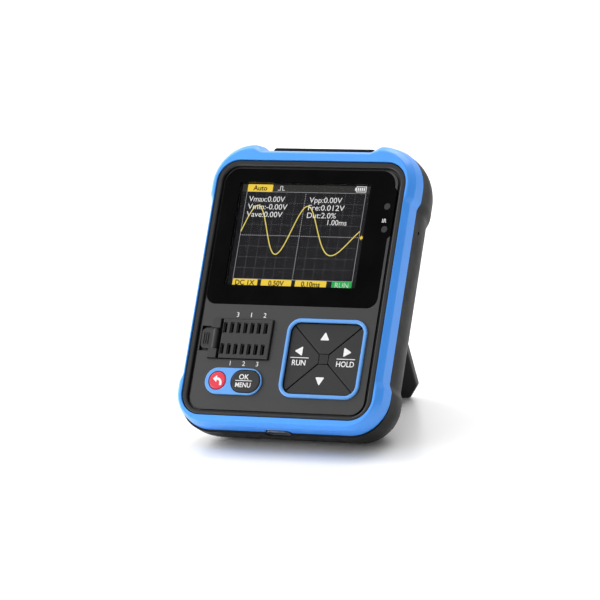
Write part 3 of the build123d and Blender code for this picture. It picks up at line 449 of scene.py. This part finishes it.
def ink(name, colour):
    """Pad-printed ink, slightly uneven in cover and sheen."""
    look = Finish(name, colour, 0.45)
    cover = look.noise(0.5, 4)
    look.clouded(cover, scaled(colour, 0.86), colour)
    look.patched(cover, 0.37, 0.53)
    look.put(look.relief(cover, 0.006), "Normal")
    return look


def board():
    """Green solder mask over woven glass, with traces showing through."""
    green = linear(14, 74, 38)
    look = Finish("board_green", green, 0.35)
    cells = look.nodes.new("ShaderNodeTexVoronoi")
    cells.distance = "CHEBYCHEV"
    cells.inputs["Scale"].default_value = 1 / (2.2 * MM)
    look.link(look.place, cells.inputs["Vector"])
    track = look.spread(cells.outputs["Distance"], 1, 0, 0.18, 0.24)
    weave = look.noise(0.4, 2)
    look.put(look.tint(track, green, scaled(green, 1.9)), "Base Color")
    look.patched(weave, 0.28, 0.42)
    look.put(look.relief(track, 0.03), "Normal")
    return look


def foil():
    """Pouch-cell foil: fine crinkles in a dull silver laminate."""
    look = Finish("cell_foil", (0.55, 0.56, 0.58, 1), 0.35, Metallic=0.9)
    crinkle = look.noise(3.5, 6)
    look.patched(crinkle, 0.25, 0.5)
    look.clouded(crinkle, (0.42, 0.43, 0.45, 1), (0.66, 0.67, 0.69, 1))
    look.put(look.relief(crinkle, 0.12, look.soft_edges(0.3)), "Normal")
    return look


def studio_floor():
    """A pale floor, whose sheen is slightly uneven."""
    look = Finish("floor_white", (0.98, 0.98, 0.98, 1), 0.3, Specular_IOR_Level=0.3)
    look.patched(look.noise(60, 3), 0.26, 0.36)
    return look


# ------------------------------------------------------------------ flat drawing on the face
class Sheet:
    """Flat shapes at one depth of the face, as one thin piece."""

    letters = {}

    def __init__(self, name, depth):
        self.name, self.depth = name, depth
        self.mesh = bmesh.new()

    def polygon(self, points):
        self.mesh.faces.new([self.mesh.verts.new((x, z, 0)) for x, z in points])

    def bar(self, left, right, low, high):
        self.polygon(box(left, right, low, high))

    def eased(self, points, radius, steps=4):
        """A polygon whose corners are rounded."""
        outline = []
        for index, corner in enumerate(points):
            here = Vector(corner)
            before = (Vector(points[index - 1]) - here).normalized()
            after = (Vector(points[(index + 1) % len(points)]) - here).normalized()
            half = before.angle(after) / 2
            centre = here + (before + after).normalized() * (radius / sin(half))
            start = here + before * (radius / tan(half)) - centre
            end = here + after * (radius / tan(half)) - centre
            for step in range(steps + 1):
                spoke = start.lerp(end, step / steps).normalized() * radius
                outline.append(tuple(centre + spoke))
        self.polygon(outline)

    def plate(self, outline, *holes):
        """A flat area, with holes in it if loops for them follow."""
        edges = []
        for loop in (outline, *holes):
            corners = [self.mesh.verts.new((x, z, 0)) for x, z in loop]
            pairs = zip(corners, corners[1:] + corners[:1])
            edges += [self.mesh.edges.new(pair) for pair in pairs]
        bmesh.ops.triangle_fill(self.mesh, use_beauty=True, use_dissolve=False, edges=edges)

    def badge(self, left, right, low, high, radius=0.35):
        self.eased(box(left, right, low, high), radius)

    def stroke(self, points, width):
        """A line of that width through the points."""
        path = [Vector(p) for p in points]
        left, right = [], []
        for index, here in enumerate(path):
            along = path[min(index + 1, len(path) - 1)] - path[max(index - 1, 0)]
            side = Vector((-along.y, along.x)).normalized() * width / 2
            left.append(self.mesh.verts.new((*(here + side), 0)))
            right.append(self.mesh.verts.new((*(here - side), 0)))
        for i in range(len(path) - 1):
            self.mesh.faces.new((right[i], right[i + 1], left[i + 1], left[i]))

    def words(self, text, x, z, height, width=None, align="CENTER", bold=0.0):
        """Lettering whose capitals have that height, its middle or end at x and its foot at z."""
        flat = lettering(text, bold)
        xs = [vertex.co.x for vertex in flat.vertices]
        long, tall = max(xs) - min(xs), capital_height()
        stretch = height / tall if width is None else width / long
        anchor = {"CENTER": (min(xs) + max(xs)) / 2, "LEFT": min(xs), "RIGHT": max(xs)}[align]
        new = []
        for vertex in flat.vertices:
            across, up = (vertex.co.x - anchor) * stretch, vertex.co.y * height / tall
            new.append(self.mesh.verts.new((x + across, z + up, 0)))
        for face in flat.polygons:
            self.mesh.faces.new([new[i] for i in face.vertices])
        bpy.data.meshes.remove(flat)

    def place(self, body, look, slot, thickness=INK):
        """Stand the sheet on its depth, thickened towards the viewer, and let it ride."""
        onto_face = Matrix(((1, 0, 0, 0), (0, 0, -1, self.depth), (0, 1, 0, 0), (0, 0, 0, 1)))
        self.mesh.transform(DEVICE @ onto_face)
        bmesh.ops.recalc_face_normals(self.mesh, faces=self.mesh.faces)
        outward = -Vector(DEVICE.col[1][:3])
        for face in self.mesh.faces:
            if face.normal.dot(outward) < 0:
                face.normal_flip()
        return settle(self.name, self.mesh, body, look, thickness)


def settle(name, mesh, body, look, thickness=0.0):
    """Turn a mesh that lies in the frame into a piece on a CAD body."""
    data = bpy.data.meshes.new(name)
    mesh.to_mesh(data)
    mesh.free()
    piece = bpy.data.objects.new(name, data)
    bpy.context.scene.collection.objects.link(piece)
    data.materials.append(look.material)
    if thickness:
        solid = piece.modifiers.new("thickness", "SOLIDIFY")
        solid.thickness = thickness * MM
        solid.offset = 1
    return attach(piece, body)


def lettering(text, bold=0.0):
    """A text as a flat mesh."""
    curve = bpy.data.curves.new("lettering", "FONT")
    curve.body = text
    curve.resolution_u = 4
    curve.offset = bold
    writer = bpy.data.objects.new("lettering", curve)
    bpy.context.scene.collection.objects.link(writer)
    bpy.context.view_layer.update()
    drawn = writer.evaluated_get(bpy.context.evaluated_depsgraph_get())
    flat = bpy.data.meshes.new_from_object(drawn)
    bpy.data.objects.remove(writer)
    bpy.data.curves.remove(curve)
    return flat


def capital_height():
    """How tall the font's capitals are, measured once."""
    if "H" not in Sheet.letters:
        flat = lettering("H")
        Sheet.letters["H"] = max(vertex.co.y for vertex in flat.vertices)
        bpy.data.meshes.remove(flat)
    return Sheet.letters["H"]


# ------------------------------------------------------------------ finishes of the CAD nodes
BLUE = linear(70, 155, 250)
TRIM = linear(94, 156, 226)
GREY = linear(40, 40, 41)
KEY = linear(33, 33, 34)
CHARCOAL = linear(24, 24, 24)


def finishes():
    """The finish of each material slot of the record."""
    dark_grain = dict(grain=0.3, depth=0.02)
    return {
        "bumper_blue": moulded("bumper_blue", BLUE, 0.3, grain=0.5, depth=0.002, edge_sheen=1.06, uneven=0.3),
        # the panel's second colour is the painted shade of its rim and groove
        "panel_grey": panel(GREY, linear(6, 6, 7)),
        "rear_charcoal": moulded("rear_charcoal", CHARCOAL, 0.5, Specular_IOR_Level=0.15, **dark_grain),
        "lens_black": lens_print(),
        "tape_black": moulded("tape_black", linear(10, 10, 10), 0.6, edge_sheen=1.0),
        "lcd_glass": moulded("lcd_glass", linear(12, 12, 14), 0.12, grain=2.0, depth=0.001),
        "backlight_white": moulded("backlight_white", linear(228, 228, 224), 0.45),
        "flex_amber": moulded("flex_amber", linear(196, 120, 40), 0.3, grain=0.8),
        "board_green": board(),
        "trim_blue": moulded("trim_blue", TRIM, 0.26, grain=0.5, depth=0.003, edge_sheen=1.3, uneven=0.4),
        "key_grey": moulded("key_grey", KEY, 0.46, Specular_IOR_Level=0.36, **dark_grain),
        "key_red": moulded("key_red", linear(214, 44, 66), 0.34, grain=0.5, depth=0.004),
        "switch_black": moulded("switch_black", linear(30, 30, 31), 0.42),
        "plunger_grey": moulded("plunger_grey", linear(150, 150, 150), 0.5),
        "contact_gold": metal("contact_gold", (0.86, 0.62, 0.28, 1), 0.26),
        "lever_steel": moulded("lever_black", linear(34, 34, 35), 0.36),
        "mcx_gold": metal("mcx_gold", (0.88, 0.66, 0.32, 1), 0.2),
        "ptfe_white": moulded("ptfe_white", linear(232, 231, 226), 0.5),
        # painted shade: tinned steel darkened far below bright tin, for the USB shell deep in its mouth
        "tinned_steel": metal("tinned_steel", (0.2, 0.2, 0.205, 1), 0.34),
        "stand_black": moulded("stand_black", linear(20, 20, 21), 0.42, **dark_grain),
        "cell_foil": foil(),
        "lead_red": moulded("lead_red", linear(190, 24, 24), 0.4),
        "screw_black": metal("screw_black", (0.05, 0.05, 0.052, 1), 0.38),
        "screw_nickel": metal("screw_nickel", (0.62, 0.6, 0.57, 1), 0.28),
        "ir_black": moulded("ir_black", linear(26, 14, 26), 0.15, grain=1.0, depth=0.001),
        "led_clear": moulded("led_clear", linear(226, 226, 214), 0.18, grain=1.0, depth=0.001),
        "chip_black": moulded("chip_black", linear(32, 32, 34), 0.6, grain=0.12),
        "crystal_can": metal("crystal_can", (0.72, 0.72, 0.7, 1), 0.24),
        "ferrite": moulded("ferrite", linear(58, 58, 60), 0.7, grain=0.15, depth=0.03),
        "capacitor_can": metal("capacitor_can", (0.74, 0.74, 0.76, 1), 0.3),
    }


def dress(looks):
    """Give each CAD node the finish that its material slot in the record names."""
    for row in frame["record"]["subparts"]:
        materials = frame["nodes"][row["node"]].data.materials
        materials.clear()
        materials.append(looks[row["material_slot"]].material)


# ------------------------------------------------------------------ display
def picture_edges():
    """Left, right, low and high edges of the display's picture."""
    glass = Extent("lcd_glass")
    right, middle = glass.right - PICTURE_MARGIN, glass.z + PICTURE_UP
    return right - PICTURE[0], right, middle - PICTURE[1] / 2, middle + PICTURE[1] / 2


def lens(print_look):
    """The lens as its black print, the clear window in it and two small round windows."""
    whole = Extent("display_lens")
    left, right, low, high = picture_edges()
    margin = WINDOW_MARGIN
    window = box(left - margin, right + margin, low - margin, high + margin)
    sensors = [(part.x, part.z) for part in (Extent("ir_receiver"), Extent("charge_led"))]
    thickness = whole.far - whole.near
    border = Sheet("lens_border", whole.far)
    round_holes = [circle(*at, SENSOR_HOLE) for at in sensors]
    border.plate(near_outline("display_lens"), window, *round_holes)
    border = border.place("case", print_look, "lens_black", thickness)
    pane = Sheet("lens_window", whole.far)
    pane.plate([(x * PANE_SHRINK, z) for x, z in window])
    pane = pane.place("case", lens_window(), "lens_black", thickness)
    diameter, depth, filter_t = SENSOR_FILTER
    filters = Sheet("sensor_filters", whole.near + depth)
    for at in sensors:
        filters.plate(circle(*at, diameter))
    filters = filters.place("case", smoked(), "lens_black", filter_t)
    for piece in (border, pane, filters):
        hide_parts("display_lens")


def display():
    """The picture on the display: readouts, graticule and a yellow trace."""
    left, right, low, high = picture_edges()
    ground_depth = Extent("lcd_glass").near
    layer = ground_depth - INK
    beside_left, beside_right, below, above = PICTURE_BORDER
    grid = (left + beside_left, right - beside_right, low + below, high - above)
    looks = {
        "ground": lit("pixels_ground", linear(21, 21, 23)),
        "bar": lit("pixels_bar", linear(50, 50, 47)),
        "line": lit("pixels_line", linear(176, 176, 180)),
        "dots": lit("pixels_dots", linear(124, 124, 130)),
        "white": lit("pixels_white", linear(236, 236, 236)),
        "yellow": lit("pixels_yellow", linear(252, 214, 70)),
        "trace": lit("pixels_trace", linear(240, 222, 110)),
        "green": lit("pixels_green", linear(40, 178, 84)),
        "dark": lit("pixels_dark", linear(30, 28, 14)),
    }
    ground = Sheet("screen_ground", ground_depth)
    ground.bar(left, right, low, high)
    ground.place("case", looks["ground"], "lcd_glass")
    status = Sheet("screen_status_bar", layer)
    status.bar(left, right, grid[3], high)
    status.place("case", looks["bar"], "lcd_glass")
    graticule(layer, grid, looks)
    trace(layer - INK, grid, looks["trace"])
    badges(layer - INK, (grid[0], grid[1], low, high), looks)
    readouts(layer - INK, grid, looks["white"])


def graticule(depth, edges, looks):
    """Dotted divisions, a border, and marks along the two middle lines."""
    left, right, low, high = edges
    across, up = GRID
    step_x, step_z = (right - left) / across, (high - low) / up
    half, gap, length = DOT
    dots = Sheet("screen_dots", depth)
    for column in range(1, across):
        x = left + column * step_x
        for tick in range(TICKS * up):
            start = low + tick * step_z / TICKS + gap
            dots.bar(x - half, x + half, start, start + length)
    for row in range(1, up):
        z = low + row * step_z
        for tick in range(TICKS * across):
            start = left + tick * step_x / TICKS + gap
            dots.bar(start, start + length, z - half, z + half)
    dots.place("case", looks["dots"], "lcd_glass")
    border = Sheet("screen_border", depth)
    wide, tall = RULE
    border.bar(left - wide, left, low, high)
    border.bar(right, right + wide, low, high)
    border.bar(left - wide, right + wide, high, high + tall)
    border.bar(left - wide, right + wide, low - tall, low)
    half, length = TICK
    middle_x, middle_z = (left + right) / 2, (low + high) / 2
    for tick in range(TICKS * across):
        start = left + tick * step_x / TICKS
        border.bar(start, start + length, middle_z - half, middle_z + half)
    for tick in range(TICKS * up):
        start = low + tick * step_z / TICKS
        border.bar(middle_x - half, middle_x + half, start, start + length)
    border.place("case", looks["line"], "lcd_glass")


def trace(depth, edges, look):
    """A sine wave whose crest is near the middle and which slows down to the right."""
    left, right, low, high = edges
    crest_x, middle_z = (left + right) / 2 + WAVE_AT[0], (low + high) / 2 + WAVE_AT[1]
    rate, slowing = WAVE_TURN
    points = []
    steps = 240
    for step in range(steps + 1):
        x = left + (right - left) * step / steps
        along = x - crest_x
        phase = radians(rate * along - slowing * max(along, 0) ** 2)
        points.append((x, middle_z + WAVE_HEIGHT * cos(phase)))
    line = Sheet("screen_trace", depth)
    line.stroke(points, WAVE_LINE)
    line.place("case", look, "lcd_glass")


def badges(depth, edges, looks):
    """Coloured badges with their words, the level marker, the pulse sign and the battery."""
    left, right, low, high = edges
    width, foot, top = STATUS_BADGE
    row_foot, row_top = BADGE_ROW
    yellow = Sheet("screen_badges", depth)
    yellow.badge(left, left + width, high - foot, high - top)
    words = Sheet("screen_badge_words", depth - INK)
    words.words("Auto", left + width / 2, high - STATUS_FOOT, BADGE_LETTER, AUTO_WIDTH, bold=BADGE_BOLD)
    for start, end, text in BADGES:
        yellow.badge(left + start, left + end, low + row_foot, low + row_top)
        middle = left + (start + end) / 2
        words.words(text, middle, low + BADGE_WORD_FOOT, BADGE_LETTER, bold=BADGE_BOLD)
    tip, base, half = MARKER
    level = low + MARKER_LEVEL
    yellow.polygon([
        (right + tip, (low + high) / 2),
        (right + base, level + half),
        (right + base, level - half),
    ])
    start, end, half = MARKER_TAIL
    yellow.bar(right + start, right + end, level - half, level + half)
    yellow.place("case", looks["yellow"], "lcd_glass")
    green = Sheet("screen_run_badge", depth)
    inside, beyond = RUN_BADGE
    green.badge(right - inside, right + beyond, low + row_foot, low + row_top)
    green.place("case", looks["green"], "lcd_glass")
    words.place("case", looks["dark"], "lcd_glass")
    icons = Sheet("screen_icons", depth)
    x, foot, tall, wide = RUN_WORD
    icons.words("RUN", right + x, low + foot, tall, wide)
    battery(icons, right + BATTERY_AT[0], high + BATTERY_AT[1])
    for (x0, z0), (x1, z1) in zip(PULSE, PULSE[1:]):
        beside = (left + min(x0, x1) - PULSE_HALF, left + max(x0, x1) + PULSE_HALF)
        icons.bar(*beside, high + min(z0, z1) - PULSE_HALF, high + max(z0, z1) + PULSE_HALF)
    icons.place("case", looks["white"], "lcd_glass")


def battery(sheet, right, z):
    """A battery in outline, nose to the left, with four charged cells."""
    width, half, line = BATTERY
    left, low, high = right - width, z - half, z + half
    sheet.plate(
        box(left, right, low, high),
        box(left + line, right - line, low + line, high - line),
    )
    nose, nose_half = BATTERY_NOSE
    sheet.bar(left - nose, left, z - nose_half, z + nose_half)
    first, step, wide = CELL
    for cell in range(CELLS):
        start = left + first + step * cell
        sheet.bar(start, start + wide, low + first, high - first)


def readouts(depth, edges, look):
    """Two columns of measured values, and the time beside them."""
    left, right, low, high = edges
    middle = (left + right) / 2
    (first, second), (wide, tall) = READOUT_COLUMNS, LETTER
    text = Sheet("screen_readouts", depth)
    for row, (one, two) in enumerate(READOUTS):
        foot = high - READOUT_ROW[0] - READOUT_ROW[1] * row
        text.words(one, left + first, foot, tall, wide * len(one), align="LEFT")
        text.words(two, middle + second, foot, tall, wide * len(two), align="LEFT")
    inside, below, tall = TIME_READOUT
    text.words("1.00ms", right - inside, high - below, tall, align="RIGHT")
    text.place("case", look, "lcd_glass")


# ------------------------------------------------------------------ legends
def arrow(sheet, x, z, turn):
    """A rounded triangle that points along turn: 0 is up, 90 is left."""
    size, rounding = ARROW
    points = []
    for corner in (90, 210, 330):
        angle = radians(corner + turn)
        points.append((x + size * cos(angle), z + size * sin(angle)))
    sheet.eased(points, rounding)


def key_legends(white):
    """Arrows on the four direction keys, and words on two of them and on the OK key."""
    pad = Extent("dpad_ring")
    half, bar_foot, bar_top = KEY_BAR
    word_foot, word_height = KEY_WORD
    for key, (x, z, turn) in ARROWS.items():
        legend = Sheet(key + "_legend", Extent(key).near)
        arrow(legend, pad.x + x, pad.z + z, turn)
        if key in KEY_WORDS:
            text, shift, width = KEY_WORDS[key]
            middle = pad.x + shift
            legend.bar(middle - half, middle + half, pad.z + bar_foot, pad.z + bar_top)
            legend.words(text, middle, pad.z + word_foot, word_height, width, bold=BOLD)
        legend.place(key, white, "key_grey")
    ok = Extent("key_ok")
    legend = Sheet("key_ok_legend", ok.near)
    x, (half, bar_foot, bar_top) = ok.x + OK_SHIFT, OK_BAR
    legend.words("OK", x, ok.z + OK_WORD[0], OK_WORD[1], bold=BOLD)
    legend.bar(x - half, x + half, ok.z + bar_foot, ok.z + bar_top)
    word_foot, word_height, width = MENU_WORD
    legend.words("MENU", x, ok.z + word_foot, word_height, width, bold=BOLD)
    legend.place("key_ok", white, "key_grey")
    back_arrow(white)


def back_arrow(white):
    """A return arrow: a head that points left and a tail that turns down."""
    key = Extent("key_back")
    sheet = Sheet("key_back_legend", key.near)
    sheet.eased([(key.x + x, key.z + z) for x, z in RETURN_HEAD], RETURN_ROUNDING)
    bend_x, bend_z, wide, tall = RETURN_BEND
    start, end = RETURN_ENDS
    tail = [start]
    for step in range(RETURN_STEPS + 1):
        angle = radians(90 * (1 - step / RETURN_STEPS))
        tail.append((bend_x + wide * cos(angle), bend_z + tall * sin(angle)))
    tail.append(end)
    sheet.stroke([(key.x + x, key.z + z) for x, z in tail], RETURN_LINE)
    sheet.place("key_back", white, "key_red")


def panel_legends(white):
    """Numbers above and below the test socket, and a mark over the infrared receiver."""
    socket = Extent("socket_base")
    panel_face = Extent("display_lens").near
    first, step = NUMBER_STEP
    above, below = NUMBER_FOOT
    numbers = Sheet("socket_numbers", panel_face)
    for place, (upper, lower) in enumerate(SOCKET_NUMBERS):
        x = socket.right - first - step * place
        numbers.words(upper, x, socket.high + above, NUMBER_HEIGHT)
        numbers.words(lower, x, socket.low + below, NUMBER_HEIGHT)
    numbers.place("case", white, "panel_grey")
    receiver = Extent("ir_receiver")
    x, foot, tall = IR_MARK
    mark = Sheet("ir_mark", panel_face)
    mark.words("IR", receiver.x + x, receiver.z + foot, tall)
    mark.place("case", white, "lens_black")


# ------------------------------------------------------------------ studio
def area_light(name, place, target, size, power):
    data = bpy.data.lights.new(name, "AREA")
    data.shape = "RECTANGLE"
    data.size, data.size_y = size
    data.energy = power
    light = bpy.data.objects.new(name, data)
    light.location = place
    light.rotation_euler = (Vector(target) - Vector(place)).to_track_quat("-Z", "Y").to_euler()
    bpy.context.scene.collection.objects.link(light)


def studio():
    """A floor under the instrument, the lamps and the bright room."""
    low, high = cad_box
    floor_mesh = bmesh.new()
    corners = [(x, y, low.z) for x, y in box(-FLOOR_REACH, FLOOR_REACH, -FLOOR_REACH, FLOOR_REACH)]
    floor_mesh.faces.new([floor_mesh.verts.new(corner) for corner in corners])
    data = bpy.data.meshes.new("floor")
    floor_mesh.to_mesh(data)
    floor_mesh.free()
    data.materials.append(studio_floor().material)
    floor = bpy.data.objects.new("floor", data)
    bpy.context.scene.collection.objects.link(floor)
    for name, place, size, power in LIGHTS:
        area_light(name, place, (low + high) / 2, size, power)
    scene = bpy.context.scene
    scene.world = soft_room()
    scene.view_settings.view_transform = "Standard"


def soft_room():
    """White surroundings, brighter above and to the left than to the right and in front."""
    world = bpy.data.worlds.new("studio")
    world.use_nodes = True
    nodes, links = world.node_tree.nodes, world.node_tree.links
    facing = nodes.new("ShaderNodeVectorMath")
    facing.operation = "DOT_PRODUCT"
    links.new(nodes.new("ShaderNodeTexCoord").outputs["Generated"], facing.inputs[0])
    facing.inputs[1].default_value = Vector(BRIGHT_SIDE).normalized()
    fall = nodes.new("ShaderNodeMapRange")
    for socket, number in zip(RANGE_SOCKETS, (ROOM_TURN, 1.0, *ROOM_LIGHT)):
        fall.inputs[socket].default_value = number
    links.new(facing.outputs["Value"], fall.inputs["Value"])
    background = nodes["Background"]
    background.inputs["Color"].default_value = (1, 1, 1, 1)
    links.new(fall.outputs["Result"], background.inputs["Strength"])
    return world


def camera():
    """The photograph's view, in the instrument's own axes until the last step."""
    around, above, roll = (radians(v) for v in (CAMERA_AROUND, CAMERA_ABOVE, CAMERA_ROLL))
    out = Vector((sin(around) * cos(above), -cos(around) * cos(above), sin(above)))
    level = Vector((cos(around), sin(around), 0))
    upright = level.cross(-out)
    right = level * cos(roll) + upright * sin(roll)
    up = upright * cos(roll) - level * sin(roll)
    stand_at = out * CAMERA_DISTANCE
    look_at = right * AIM[0] + up * AIM[1]
    turn = DEVICE.to_3x3() * (1 / MM)
    back = (stand_at - look_at).normalized()
    side = (right - back * right.dot(back)).normalized()
    axes = Matrix((turn @ side, turn @ back.cross(side), turn @ back)).transposed()
    data = bpy.data.cameras.new("camera")
    data.lens = CAMERA_LENS
    data.clip_start, data.clip_end = CLIP
    view = bpy.data.objects.new("camera", data)
    view.matrix_world = Matrix.Translation(DEVICE @ stand_at) @ axes.to_4x4()
    bpy.context.scene.collection.objects.link(view)
    bpy.context.scene.camera = view


# ------------------------------------------------------------------ scene
LOOKS = finishes()
dress(LOOKS)
lens(LOOKS["lens_black"])
display()
WHITE_INK = ink("white_ink", linear(236, 236, 236))
key_legends(WHITE_INK)
panel_legends(WHITE_INK)
studio()
camera()
